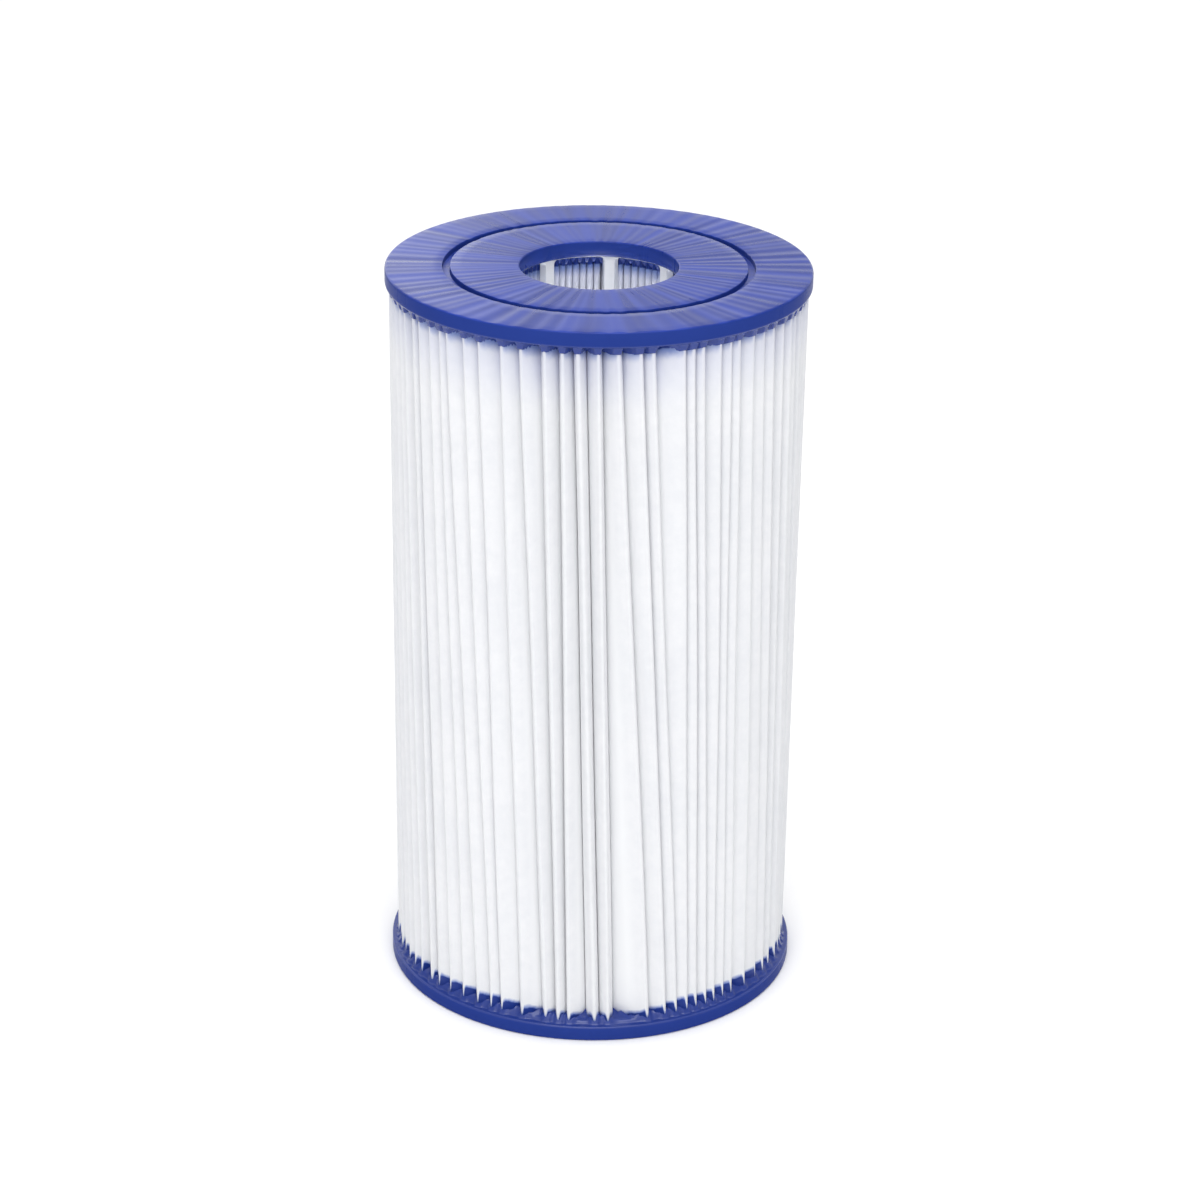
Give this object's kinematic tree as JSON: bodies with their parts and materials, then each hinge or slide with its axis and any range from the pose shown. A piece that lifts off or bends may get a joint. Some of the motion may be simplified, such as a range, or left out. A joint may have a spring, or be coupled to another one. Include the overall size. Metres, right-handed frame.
{
  "type": "filter cartridge",
  "caption": "Cylindrical pleated filter cartridge with a flat ring-shaped end cap at each end and an open cage core for a pool or spa pump.",
  "frame": {"origin": "centre of the bottom end cap's outer face", "axes": "+Z along the cartridge's axis, from the bottom cap to the top cap; -Y is the front; the sheet's bonded seam is at the back, +Y"},
  "size_m": [0.142, 0.142, 0.254],
  "materials": {
    "end_cap": "satin cast polyurethane, blue",
    "filter_media": "spun-bonded polyester, white",
    "adhesive": "set hot-melt adhesive, off-white",
    "core": "moulded polypropylene, white"
  },
  "bodies": {
    "root": {"bottom_end_cap": "end_cap", "top_end_cap": "end_cap", "pleated_media": "filter_media", "seam_bead": "adhesive", "support_core": "core"}
  },
  "joints": []
}
